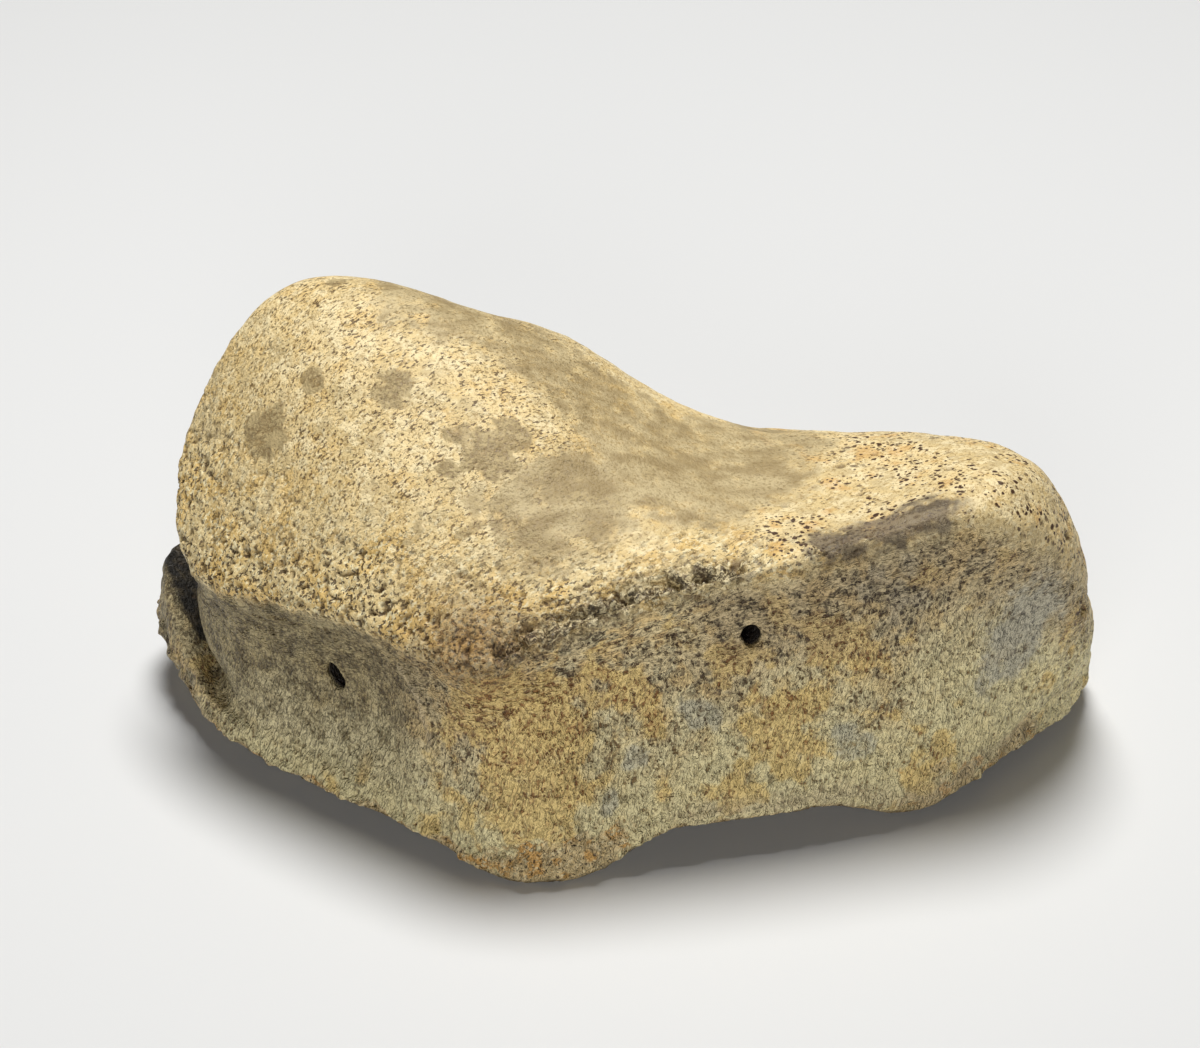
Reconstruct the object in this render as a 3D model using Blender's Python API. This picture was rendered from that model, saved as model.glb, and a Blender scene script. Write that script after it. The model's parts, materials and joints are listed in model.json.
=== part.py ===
"""Builds a fossil hadrosaur toe bone: a short, wide phalanx, as one closed solid.

The bone rests on its hollowed upper joint face, so the rim of that face is at the bottom. Its other joint
face, which is a saddle between a high left condyle and a low right one, is on top. X runs along the bone's
width, Y from its sole side to its back, and Z up. Lengths are in millimetres until they go into the mesh.
"""

from collections import namedtuple
from math import acos, atan2, cos, degrees, exp, hypot, pi, radians, sin

import bmesh
import bpy
from mathutils import Matrix, Vector

MM = 0.001

# Seen from above, both ends of the bone are outlines of nine sides with round corners. A side has a compass
# direction in degrees from the right end, the reach of the rim and of the lip above it, and the width and
# drop with which the top joint face rolls down to that side.
Side = namedtuple("Side", "compass rim lip roll_width roll_drop")
RIGHT_END = Side(0, 49.8, 45.8, 9.5, 8.3)
RIGHT_BACK = Side(40, 40.5, 30.2, 26.2, 8.2)
BACK_RIGHT = Side(70, 35.5, 25.5, 19.0, 9.0)
BACK = Side(100, 37.5, 31.0, 27.5, 2.9)
BACK_CORNER = Side(135, 55.0, 46.8, 13.9, 2.4)
LEFT_END = Side(180, 48.0, 48.4, 19.4, 5.9)
LIGAMENT_SIDE = Side(220, 32.0, 32.6, 31.0, 23.0)
SOLE = Side(270, 24.5, 23.2, 16.5, -2.5)
SOLE_RIGHT = Side(303, 34.4, 38.2, 7.3, 8.0)
SIDES = (
    RIGHT_END,
    RIGHT_BACK,
    BACK_RIGHT,
    BACK,
    BACK_CORNER,
    LEFT_END,
    LIGAMENT_SIDE,
    SOLE,
    SOLE_RIGHT,
)
RIM_CORNER_SHARPNESS = 14
LIP_CORNER_SHARPNESS = 18

# The top joint face climbs from the saddle to the left condyle along a line that is turned a little.
SADDLE_HEIGHT = 33.6
CONDYLE_HEIGHT = 50.4
CLIMB_TURN = -11.0
CLIMB_START = -13.4
CLIMB_END = 33.1
RIGHT_CONDYLE_RISE = 4.7
RIGHT_CONDYLE_X = 35.3
RIGHT_CONDYLE_WIDTH = 13.0

# Raised and sunk places on the top joint face: height, X, Y and half width.
BACK_SWELL = (1.8, -3.3, 18.6, 8.0)
RIGHT_SWELL = (1.2, 39.0, -9.0, 8.0)
CORNER_SWELL = (1.8, -36.0, 26.0, 7.0)
BACK_HOLLOW = (-1.7, -13.0, 27.0, 6.0)
SWELLS = (BACK_SWELL, RIGHT_SWELL, CORNER_SWELL, BACK_HOLLOW)

# The rim stands on three flats and arches off the floor between them. An arch has a height, the compass
# directions between which it is level, and the length of its slopes in degrees.
HOLLOW_HEIGHT = 8.0
HOLLOW_SPREAD = 6
FLAT_WIDTH = 2.6
SOLE_ARCH = (4.0, 252, 310, 22)
RIGHT_ARCH = (1.6, 318, 350, 20)
BACK_ARCH = (2.4, 58, 92, 20)
LEFT_ARCH = (2.4, 142, 220, 18)
ARCHES = (SOLE_ARCH, RIGHT_ARCH, BACK_ARCH, LEFT_ARCH)

# The rim's thickness and reach, with the places where they change: mm, compass and half width in degrees.
# Its edge turns from straight down to leaning in, and at the right end it turns less and stays upright.
RIM_THICKNESS = 2.6
FOOT_THICKNESS = (3.4, 238, 15)
RIGHT_BAND_THICKNESS = (5.5, 350, 24)
BACK_THICKNESS = (2.0, 70, 60)
LEFT_THINNING = (-1.4, 190, 36)
RIM_BANDS = (FOOT_THICKNESS, RIGHT_BAND_THICKNESS, BACK_THICKNESS, LEFT_THINNING)
FOOT_REACH = (1.4, 238, 9)
FLANGE_REACH = (2.3, 153, 10)
RIM_TURN_START = -90
RIM_TURN_END = 40
UPRIGHT_RIM = (32, 350, 26)
LEAST_ROUNDING = 1.4
ROUNDING_SHARE = 0.12

# At the left end the rim is a thin flange. It lifts off the floor, curls up, and leaves a trough between
# itself and the wall. Levels on the wall run from 0 at the rim to 1 under the lip.
FLANGE_LIFT = (4.6, 152, 13)
FLAT_MIDDLE = 118
LIFT_START_WIDTH = 20
FLANGE_CURL = (4.4, 153, 13)
CURL_LEVEL = 0.05
FLANGE_TROUGH = (3.6, 157, 13)
TROUGH_LEVEL = 0.17
TROUGH_WIDTH = 0.09

# The lip of the top joint face stands out over the wall, most over the ligament side.
LIP_DEPTH = 3.4
LIP_POWER = 1.3
LEAST_OVERHANG = 0.4
LEFT_OVERHANG = (2.2, 150, 225, 45)
SOLE_OVERHANG = (1.5, 232, 288, 34)
BACK_OVERHANG = (0.8, 40, 140, 50)
OVERHANGS = (LEFT_OVERHANG, SOLE_OVERHANG, BACK_OVERHANG)

# The wall flares from under the lip out to the rim. A higher power keeps the flare nearer the rim.
WALL_FLARE = 1.7
LEFT_EXTRA_FLARE = (0.5, 150, 215, 40)
RIGHT_LESS_FLARE = (0.6, 322, 385, 36)
WALL_FADE = 0.15

# Raised and sunk places on the wall: mm out, compass, half width in degrees, level from 0 at the rim to 1
# under the lip, and half height in the same measure.
CORNER_RIDGE = (1.2, 231, 9, 0.45, 0.60)
TROUGH_WALL = (-4.2, 157, 13, 0.22, 0.16)
LIGAMENT_PIT = (-1.7, 191, 12, 0.50, 0.40)
PIT_RIDGE = (0.7, 206, 4, 0.50, 0.40)
SOLE_DIP = (-1.4, 327, 11, 0.62, 0.40)
RIGHT_EDGE_RIDGE = (1.2, 345, 7, 0.50, 0.50)
RIGHT_END_SWELL = (1.0, 354, 16, 0.60, 0.45)
BACK_DIP = (-1.6, 95, 35, 0.55, 0.40)
WALL_SHAPES = (
    CORNER_RIDGE,
    TROUGH_WALL,
    LIGAMENT_PIT,
    PIT_RIDGE,
    SOLE_DIP,
    RIGHT_EDGE_RIDGE,
    RIGHT_END_SWELL,
    BACK_DIP,
)

# Each hole for a blood vessel: compass and level of its place on the wall, the compass that it faces, and
# its width, height and depth.
ROUND_HOLE = (284, 0.80, 275, 2.0, 2.0, 5.0)
SLIT_HOLE = (188, 0.69, 222, 1.3, 3.2, 4.0)
HOLE_SIDES = 16

# The surface's points around, and its rings from the bottom up. A power sets a band's rings closer together
# where the band starts.
AROUND = 108
UNDERSIDE_RINGS = 8
EDGE_RINGS = 4
WALL_RINGS = 19
WALL_RING_POWER = 1.5
LIP_RINGS = 4
TOP_RINGS = 15
TOP_RING_POWER = 1.35


def ease(value, start, end):
    """Rises smoothly from 0 at start to 1 at end."""
    share = min(max((value - start) / (end - start), 0.0), 1.0)
    return share * share * (3 - 2 * share)


def hump(offset, width):
    """A smooth hump, 1 in the middle."""
    return exp(-((offset / width) ** 2))


def turn(compass, other):
    """The angle in degrees from one compass direction to another, between -180 and 180."""
    return (compass - other + 180) % 360 - 180


def humped(compass, shape):
    height, middle, width = shape
    return height * hump(turn(compass, middle), width)


def arched(compass, shape):
    """A level stretch between two compass directions, eased at both ends."""
    height, first, last, soft = shape
    away = abs(turn(compass, (first + last) / 2))
    half = (last - first) / 2
    return height * (1 - ease(away, half - soft / 2, half + soft / 2))


def outline(compass, reaches, sharpness):
    """The reach of a closed outline whose sides meet in round corners."""
    total = 0.0
    for side, reach in zip(SIDES, reaches):
        facing = max(0.0, cos(radians(compass - side.compass)))
        total += (facing / reach) ** sharpness
    return total ** (-1 / sharpness)


def rim_reach(compass):
    reach = outline(compass, [side.rim for side in SIDES], RIM_CORNER_SHARPNESS)
    return reach + humped(compass, FOOT_REACH) + humped(compass, FLANGE_REACH)


def lip_reach(compass):
    return outline(compass, [side.lip for side in SIDES], LIP_CORNER_SHARPNESS)


def rim_bottom(compass):
    lift = humped(compass, FLANGE_LIFT) * ease(abs(turn(compass, FLAT_MIDDLE)), 0, LIFT_START_WIDTH)
    return lift + sum(arched(compass, arch) for arch in ARCHES)


def rim_thickness(compass):
    return RIM_THICKNESS + sum(humped(compass, band) for band in RIM_BANDS)


def overhang(compass):
    return LEAST_OVERHANG + sum(arched(compass, shape) for shape in OVERHANGS)


def joint_face(x, y):
    """The height of the top joint face."""
    along = -(x * cos(radians(CLIMB_TURN)) + y * sin(radians(CLIMB_TURN)))
    height = SADDLE_HEIGHT + (CONDYLE_HEIGHT - SADDLE_HEIGHT) * ease(along, CLIMB_START, CLIMB_END)
    height += RIGHT_CONDYLE_RISE * hump(x - RIGHT_CONDYLE_X, RIGHT_CONDYLE_WIDTH)
    for rise, middle_x, middle_y, width in SWELLS:
        height += rise * hump(hypot(x - middle_x, y - middle_y), width)
    for side in SIDES:
        compass = radians(side.compass)
        inward = side.lip - (x * cos(compass) + y * sin(compass))
        height -= side.roll_drop * max(0.0, 1 - inward / side.roll_width) ** 2
    return height


def lip_height(compass):
    reach = lip_reach(compass)
    return joint_face(reach * cos(radians(compass)), reach * sin(radians(compass)))


def lip_bottom(compass):
    return lip_height(compass) - LIP_DEPTH - overhang(compass) / 2


def edge_rounding(compass):
    return LEAST_ROUNDING + ROUNDING_SHARE * rim_thickness(compass)


def underside(compass, share):
    """The hollow joint face under the bone, from its middle out to the inner edge of the flats."""
    edge = rim_reach(compass) - edge_rounding(compass) - FLAT_WIDTH
    height = HOLLOW_HEIGHT * (1 - share**2) + rim_bottom(compass) * share**HOLLOW_SPREAD
    return edge * share, height


def rim_edge(compass, share):
    """The round outer edge of the rim, from the flats up to the wall."""
    turn_end = RIM_TURN_END - humped(compass, UPRIGHT_RIM)
    angle = radians(RIM_TURN_START + (turn_end - RIM_TURN_START) * share)
    rounding = edge_rounding(compass)
    half = rim_thickness(compass) / 2
    reach = rim_reach(compass) - rounding * (1 - cos(angle))
    return reach, rim_bottom(compass) + half * (1 + sin(angle))


def wall(compass, share):
    """The wall, from the rim up to the lip's underside."""
    foot_reach, foot_height = rim_edge(compass, 1)
    waist = lip_reach(compass) - overhang(compass)
    flare = WALL_FLARE + arched(compass, LEFT_EXTRA_FLARE) - arched(compass, RIGHT_LESS_FLARE)
    reach = waist + (foot_reach - waist) * (1 - share) ** flare
    fade = ease(share, 0.0, WALL_FADE) * ease(1 - share, 0.0, WALL_FADE)
    for out, middle, width, level, rise in WALL_SHAPES:
        reach += out * hump(turn(compass, middle), width) * hump(share - level, rise) * fade
    height = foot_height + (lip_bottom(compass) - foot_height) * share
    height += humped(compass, FLANGE_CURL) * share / CURL_LEVEL * exp(1 - share / CURL_LEVEL)
    trough = humped(compass, FLANGE_TROUGH) * hump(share - TROUGH_LEVEL, TROUGH_WIDTH)
    return reach, height - trough * ease(share, 0.0, WALL_FADE)


def wall_ring(compass, share):
    """The same wall, with its rings closer near the rim."""
    return wall(compass, share**WALL_RING_POWER)


def lip(compass, share):
    """The rounded lip, from its underside out to the edge of the top joint face."""
    angle = radians(90 * share)
    reach = lip_reach(compass) - overhang(compass) * (1 - sin(angle) ** LIP_POWER)
    bottom = lip_bottom(compass)
    return reach, bottom + (lip_height(compass) - bottom) * (1 - cos(angle))


def top_face(compass, share):
    """The top joint face, from the lip in to the middle, with its rings closer near the lip."""
    reach = lip_reach(compass) * (1 - share**TOP_RING_POWER)
    return reach, joint_face(reach * cos(radians(compass)), reach * sin(radians(compass)))


BANDS = (
    (UNDERSIDE_RINGS, underside),
    (EDGE_RINGS, rim_edge),
    (WALL_RINGS, wall_ring),
    (LIP_RINGS, lip),
    (TOP_RINGS, top_face),
)
RINGS = sum(count for count, _ in BANDS)


def surface_point(compass, ring):
    """The point of the bone's surface in one compass direction, on one ring counted up from the bottom."""
    for count, shape in BANDS:
        if ring <= count:
            break
        ring -= count
    reach, height = shape(compass, ring / count)
    return Vector((reach * cos(radians(compass)), reach * sin(radians(compass)), height))


def bone_body():
    """A ball whose rings are moved out to the bone's surface."""
    mesh = bmesh.new()
    bmesh.ops.create_uvsphere(mesh, u_segments=AROUND, v_segments=RINGS, radius=1)
    for vertex in mesh.verts:
        x, y, z = vertex.co
        compass = degrees(atan2(y, x))
        ring = round(RINGS * (1 - acos(max(-1.0, min(1.0, z))) / pi))
        vertex.co = surface_point(compass, ring) * MM
    return mesh


def hole_cutter(name, hole, bone, cutter_collection):
    """A long ball, half sunk in the wall, which leaves a blind hole with a round end."""
    compass, level, facing, width, height, depth = hole
    reach, up = wall(compass, level)
    mouth = Vector((reach * cos(radians(compass)), reach * sin(radians(compass)), up)) * MM
    mesh = bmesh.new()
    bmesh.ops.create_uvsphere(mesh, u_segments=HOLE_SIDES, v_segments=HOLE_SIDES // 2, radius=1)
    bmesh.ops.scale(mesh, vec=Vector((depth, width / 2, height / 2)) * MM, verts=mesh.verts)
    place = Matrix.Translation(mouth) @ Matrix.Rotation(radians(facing), 4, "Z")
    bmesh.ops.transform(mesh, matrix=place, verts=mesh.verts)
    data = bpy.data.meshes.new(name)
    mesh.to_mesh(data)
    mesh.free()
    cutter = bpy.data.objects.new(name, data)
    cutter.hide_render = True
    cutter.display_type = "WIRE"
    cutter.parent = bone
    cutter_collection.objects.link(cutter)
    return cutter


def fossil_material():
    material = bpy.data.materials.new("fossil_bone")
    material.use_nodes = True
    shader = material.node_tree.nodes["Principled BSDF"]
    shader.inputs["Base Color"].default_value = (0.42, 0.33, 0.20, 1)
    shader.inputs["Roughness"].default_value = 0.8
    shader.inputs["Metallic"].default_value = 0
    return material


for leftover in list(bpy.data.objects):
    bpy.data.objects.remove(leftover)

bone_collection = bpy.data.collections.new("hadrosaur_toe_bone")
cutter_collection = bpy.data.collections.new("cutters")
bpy.context.scene.collection.children.link(bone_collection)
bpy.context.scene.collection.children.link(cutter_collection)

body = bone_body()
data = bpy.data.meshes.new("toe_bone")
body.to_mesh(data)
body.free()
data.materials.append(fossil_material())
data.shade_smooth()
bone = bpy.data.objects.new("toe_bone", data)
bone_collection.objects.link(bone)
corners = [Vector(corner) for corner in bone.bound_box]
bone.location = -(corners[0] + corners[6]) / 2
bone.location.z = 0

for name, hole in (("round_hole", ROUND_HOLE), ("slit_hole", SLIT_HOLE)):
    cut = bone.modifiers.new(name, "BOOLEAN")
    cut.operation = "DIFFERENCE"
    cut.solver = "EXACT"
    cut.object = hole_cutter(name, hole, bone, cutter_collection)
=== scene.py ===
import itertools
import json
from math import radians

import bmesh
import bpy
import numpy as np
from mathutils import Matrix, Vector

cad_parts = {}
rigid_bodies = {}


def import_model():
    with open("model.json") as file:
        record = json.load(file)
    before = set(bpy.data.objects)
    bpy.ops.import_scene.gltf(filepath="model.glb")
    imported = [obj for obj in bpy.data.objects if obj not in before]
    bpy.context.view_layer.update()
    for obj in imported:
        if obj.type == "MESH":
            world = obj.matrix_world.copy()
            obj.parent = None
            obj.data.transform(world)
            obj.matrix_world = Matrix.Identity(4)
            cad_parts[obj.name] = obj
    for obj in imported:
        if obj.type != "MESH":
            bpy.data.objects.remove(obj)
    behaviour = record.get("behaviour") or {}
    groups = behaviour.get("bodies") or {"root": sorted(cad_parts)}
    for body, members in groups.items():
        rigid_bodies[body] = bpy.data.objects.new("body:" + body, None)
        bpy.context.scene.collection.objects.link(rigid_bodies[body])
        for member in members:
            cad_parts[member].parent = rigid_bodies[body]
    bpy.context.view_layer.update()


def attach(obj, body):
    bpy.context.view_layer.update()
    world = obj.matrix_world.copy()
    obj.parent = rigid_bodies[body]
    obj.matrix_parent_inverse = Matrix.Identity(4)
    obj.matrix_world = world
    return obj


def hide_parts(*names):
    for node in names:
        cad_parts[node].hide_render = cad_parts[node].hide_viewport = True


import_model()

# The toe bone is one short, wide phalanx of a hadrosaur, turned to stone. It stands on its hollow upper joint
# face. Its plain form is rings of points, from the middle of the underside up to the middle of the saddle on
# top: nine sides with round corners at the rim, and nine at the lip above it. Lengths are in millimetres.
MM = 0.001
# from the middle of the rings to the middle of the bone's box
BONE_SHIFT = (0.213, -5.395, 0.0)
# compass of each side, reach of the rim, reach of the lip, width and drop of the roll at the lip
SIDES = (
    (0, 49.8, 45.8, 9.5, 8.3),
    (40, 40.5, 30.2, 26.2, 8.2),
    (70, 35.5, 25.5, 19.0, 9.0),
    (100, 37.5, 31.0, 27.5, 2.9),
    (135, 55.0, 46.8, 13.9, 2.4),
    (180, 48.0, 48.4, 19.4, 5.9),
    (220, 32.0, 32.6, 31.0, 23.0),
    (270, 24.5, 23.2, 16.5, -2.5),
    (303, 34.4, 38.2, 7.3, 8.0),
)
RIM_SHARPNESS, LIP_SHARPNESS = 14, 18

SADDLE_HEIGHT, CONDYLE_HEIGHT = 33.6, 50.4
CLIMB_TURN, CLIMB_START, CLIMB_END = radians(-11), -13.4, 33.1
LOW_CONDYLE_RISE, LOW_CONDYLE_X, LOW_CONDYLE_WIDTH = 4.7, 35.3, 13.0
# rise, place and width of each swelling of the saddle
SWELLS = ((1.8, -3.3, 18.6, 8.0), (1.2, 39.0, -9.0, 8.0), (1.8, -36.0, 26.0, 7.0), (-1.7, -13.0, 27.0, 6.0))

# An arch or a stretch is its height, its first and last compass, and its softness. A hump is its height, its
# middle compass, and its width.
HOLLOW_HEIGHT, HOLLOW_SPREAD, FLAT_WIDTH = 8.0, 6, 2.6
ARCHES = ((4.0, 252, 310, 22), (1.6, 318, 350, 20), (2.4, 58, 92, 20), (2.4, 142, 220, 18))
FLANGE_LIFT, FLANGE_STEADY = (4.6, 152, 13), (118, 20)
RIM_SPURS = ((1.4, 238, 9), (2.3, 153, 10))
RIM_THICKNESS, RIM_BANDS = 2.6, ((3.4, 238, 15), (5.5, 350, 24), (2.0, 70, 60), (-1.4, 190, 36))
RIM_TURN_START, RIM_TURN, UPRIGHT_RIM = -90, 130, (32, 350, 26)
ROUNDING, ROUNDING_SHARE = 1.4, 0.12

LIP_DEPTH, LIP_POWER = 3.4, 1.3
OVERHANG, OVERHANGS = 0.4, ((2.2, 150, 225, 45), (1.5, 232, 288, 34), (0.8, 40, 140, 50))
WALL_FLARE, EXTRA_FLARE, LESS_FLARE = 1.7, (0.5, 150, 215, 40), (0.6, 322, 385, 36)
WALL_FADE = 0.15
CURL, CURL_LEVEL = (4.4, 153, 13), 0.05
TROUGH, TROUGH_LEVEL, TROUGH_WIDTH = (3.6, 157, 13), 0.17, 0.09
# how far out, compass and width, level and rise of each swelling or hollow of the wall
WALL_SHAPES = (
    (1.2, 231, 9, 0.45, 0.60),
    (-4.2, 157, 13, 0.22, 0.16),
    (-1.7, 191, 12, 0.50, 0.40),
    (0.7, 206, 4, 0.50, 0.40),
    (-1.4, 327, 11, 0.62, 0.40),
    (1.2, 345, 7, 0.50, 0.50),
    (1.0, 354, 16, 0.60, 0.45),
    (-1.6, 95, 35, 0.55, 0.40),
)
TOP_POWER = 1.35


def ease(value, start, end):
    """Rises smoothly from 0 at start to 1 at end."""
    share = np.clip((value - start) / (end - start), 0, 1)
    return share * share * (3 - 2 * share)


def fade(value, start, end):
    """Falls smoothly from 1 at start to 0 at end."""
    return 1 - ease(value, start, end)


def hump(offset, width):
    return np.exp(-((offset / width) ** 2))


def turn(compass, other):
    return (compass - other + 180) % 360 - 180


def arched(compass, shape):
    height, first, last, soft = shape
    away = abs(turn(compass, (first + last) / 2))
    half = (last - first) / 2
    return height * fade(away, half - soft / 2, half + soft / 2)


def humped(compass, shape):
    height, middle, width = shape
    return height * hump(turn(compass, middle), width)


def nine_sided(compass, column, sharpness):
    facing = [np.maximum(0, np.cos(np.radians(compass - side[0]))) / side[column] for side in SIDES]
    return sum(share**sharpness for share in facing) ** (-1 / sharpness)


def rim_reach(compass):
    return nine_sided(compass, 1, RIM_SHARPNESS) + sum(humped(compass, spur) for spur in RIM_SPURS)


def lip_reach(compass):
    return nine_sided(compass, 2, LIP_SHARPNESS)


def rim_bottom(compass):
    steady, soft = FLANGE_STEADY
    lifted = humped(compass, FLANGE_LIFT) * ease(abs(turn(compass, steady)), 0, soft)
    return sum(arched(compass, arch) for arch in ARCHES) + lifted


def rim_thickness(compass):
    return RIM_THICKNESS + sum(humped(compass, band) for band in RIM_BANDS)


def overhang(compass):
    return OVERHANG + sum(arched(compass, shape) for shape in OVERHANGS)


def climb(x, y):
    """How far a place lies towards the high condyle."""
    return -(x * np.cos(CLIMB_TURN) + y * np.sin(CLIMB_TURN))


def joint_face(x, y):
    """The height of the saddle-shaped joint face on top."""
    height = SADDLE_HEIGHT + (CONDYLE_HEIGHT - SADDLE_HEIGHT) * ease(climb(x, y), CLIMB_START, CLIMB_END)
    height = height + LOW_CONDYLE_RISE * hump(x - LOW_CONDYLE_X, LOW_CONDYLE_WIDTH)
    for rise, swell_x, swell_y, width in SWELLS:
        height = height + rise * hump(np.hypot(x - swell_x, y - swell_y), width)
    for compass, _, lip, width, drop in SIDES:
        inward = lip - (x * np.cos(radians(compass)) + y * np.sin(radians(compass)))
        height = height - drop * np.maximum(0, 1 - inward / width) ** 2
    return height


def lip_height(compass):
    reach, angle = lip_reach(compass), np.radians(compass)
    return joint_face(reach * np.cos(angle), reach * np.sin(angle))


def lip_bottom(compass):
    return lip_height(compass) - LIP_DEPTH - overhang(compass) / 2


def edge_rounding(compass):
    return ROUNDING + ROUNDING_SHARE * rim_thickness(compass)


def underside(compass, share):
    edge = rim_reach(compass) - edge_rounding(compass) - FLAT_WIDTH
    height = HOLLOW_HEIGHT * (1 - share**2) + rim_bottom(compass) * share**HOLLOW_SPREAD
    return edge * share, height


def rim_edge(compass, share):
    angle = np.radians(RIM_TURN_START + (RIM_TURN - humped(compass, UPRIGHT_RIM)) * share)
    reach = rim_reach(compass) - edge_rounding(compass) * (1 - np.cos(angle))
    return reach, rim_bottom(compass) + rim_thickness(compass) / 2 * (1 + np.sin(angle))


def wall(compass, share):
    foot_reach, foot_height = rim_edge(compass, 1)
    waist = lip_reach(compass) - overhang(compass)
    flare = WALL_FLARE + arched(compass, EXTRA_FLARE) - arched(compass, LESS_FLARE)
    reach = waist + (foot_reach - waist) * (1 - share) ** flare
    swell = ease(share, 0, WALL_FADE) * ease(1 - share, 0, WALL_FADE)
    for out, middle, width, level, rise in WALL_SHAPES:
        reach = reach + out * hump(turn(compass, middle), width) * hump(share - level, rise) * swell
    curl = humped(compass, CURL) * share / CURL_LEVEL * np.exp(1 - share / CURL_LEVEL)
    dip = humped(compass, TROUGH) * hump(share - TROUGH_LEVEL, TROUGH_WIDTH) * ease(share, 0, WALL_FADE)
    return reach, foot_height + (lip_bottom(compass) - foot_height) * share + curl - dip


def lip(compass, share):
    angle = np.radians(90 * share)
    reach = lip_reach(compass) - overhang(compass) * (1 - np.sin(angle) ** LIP_POWER)
    bottom = lip_bottom(compass)
    return reach, bottom + (lip_height(compass) - bottom) * (1 - np.cos(angle))


def top_face(compass, share):
    reach, angle = lip_reach(compass) * (1 - share**TOP_POWER), np.radians(compass)
    return reach, joint_face(reach * np.cos(angle), reach * np.sin(angle))


# points in each ring, and how many rings each part of the surface has
AROUND = 420
BANDS = ((36, underside), (9, rim_edge), (56, wall), (14, lip), (60, top_face))


def plain_bone():
    """The plain form as one closed mesh: a bottom point, the rings, and a top point."""
    compass = np.arange(AROUND)[None, :] * 360 / AROUND
    rings = []
    for count, shape in BANDS:
        reach, height = shape(compass, np.arange(1, count + 1)[:, None] / count)
        angle = np.radians(compass)
        rings.append(np.stack((reach * np.cos(angle), reach * np.sin(angle), height), axis=-1))
    rings = np.concatenate(rings)
    points = [(0, 0, HOLLOW_HEIGHT), *rings[:-1].reshape(-1, 3).tolist(), rings[-1][0].tolist()]
    top = len(points) - 1
    here = np.arange(AROUND)
    after = np.roll(here, -1)
    start = 1 + np.arange(len(rings) - 2)[:, None] * AROUND
    quads = np.stack((start + here, start + after, start + AROUND + after, start + AROUND + here), axis=-1)
    last = top - AROUND
    bottom_fan = [(0, 1 + b, 1 + a) for a, b in zip(here.tolist(), after.tolist())]
    top_fan = [(last + a, last + b, top) for a, b in zip(here.tolist(), after.tolist())]
    mesh = bpy.data.meshes.new("plain_bone")
    mesh.from_pydata(points, [], bottom_fan + quads.reshape(-1, 4).tolist() + top_fan)
    return mesh


bone = bpy.data.objects.new("weathered_toe_bone", plain_bone())
bpy.context.scene.collection.objects.link(bone)

# Two holes where blood vessels went in: a round one high on the sole side and a leaning slit in the hollow of
# the ligament side. Each is a long ball sunk in the wall, so its end is round, and is told by its compass, level,
# facing, lean, width, height and depth.
HOLES = ((284, 0.80, 275, 0, 2.1, 2.6, 9.0), (188, 0.69, 222, 14, 2.2, 3.6, 7.0))
for compass, level, facing, lean, width, height, depth in HOLES:
    reach, up = wall(compass, level)
    mouth = Vector((reach * np.cos(radians(compass)), reach * np.sin(radians(compass)), up))
    ball = bmesh.new()
    bmesh.ops.create_icosphere(ball, subdivisions=4, radius=1)
    size = Matrix.Diagonal((depth, width / 2, height / 2, 1))
    turned = Matrix.Rotation(radians(facing), 4, "Z") @ Matrix.Rotation(radians(lean), 4, "X")
    bmesh.ops.transform(ball, matrix=Matrix.Translation(mouth) @ turned @ size, verts=ball.verts)
    cutter_mesh = bpy.data.meshes.new("vessel_hole")
    ball.to_mesh(cutter_mesh)
    ball.free()
    cutter = bpy.data.objects.new("vessel_hole", cutter_mesh)
    bpy.context.scene.collection.objects.link(cutter)
    cut = bone.modifiers.new("hole", "BOOLEAN")
    cut.operation, cut.solver, cut.object = "DIFFERENCE", "EXACT", cutter

# The surface is then rebuilt in small even faces, so that pores and chips can be pressed into it anywhere. The
# edge of the lip is worn round at the right end and a little along the back, so the points there are evened out
# by their neighbours.
GRAIN = 0.25
remesh = bone.modifiers.new("even_faces", "REMESH")
remesh.mode, remesh.voxel_size = "VOXEL", GRAIN
graph = bpy.context.evaluated_depsgraph_get()
skin = bpy.data.meshes.new_from_object(bone.evaluated_get(graph))
bone.modifiers.clear()
bone.data = skin
for leftover in [o for o in bpy.data.objects if o.name.startswith("vessel_hole")]:
    bpy.data.objects.remove(leftover)

count = len(skin.vertices)


def read_points():
    flat = np.empty(count * 3)
    skin.vertices.foreach_get("co", flat)
    return flat.reshape(-1, 3)


def write_points(points):
    skin.vertices.foreach_set("co", points.ravel())
    skin.update()


EVEN_ROUNDS, WORN_ROUNDS = 4, 260
ROUND_STRETCHES, ROUND_DEPTH, ROUND_WIDTH = ((1.0, 288, 374, 24), (0.25, 14, 150, 24)), 2.0, 4.0
LEAST_PULL, PULL = 0.01, 0.5
ends = np.empty(len(skin.edges) * 2, np.int64)
skin.edges.foreach_get("vertices", ends)
ends = ends.reshape(-1, 2)


def evened(points, share, rounds):
    """Draws each point towards the middle of its neighbours, as far as share says."""
    share = np.where(share > LEAST_PULL, share, 0)
    chosen = np.unique(ends[(share[ends] > 0).any(axis=1)])
    place = np.zeros(count, np.int64)
    place[chosen] = np.arange(len(chosen))
    first, second = place[ends[(share[ends] > 0).any(axis=1)]].T
    both, other = np.concatenate((first, second)), np.concatenate((second, first))
    degree = np.bincount(both, minlength=len(chosen))
    moving, pull = points[chosen], PULL * share[chosen]
    for _ in range(rounds):
        for axis in range(3):
            middle = np.bincount(both, moving[other, axis], len(chosen)) / degree
            moving[:, axis] += pull * (middle - moving[:, axis])
    points = points.copy()
    points[chosen] = moving
    return points


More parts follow.
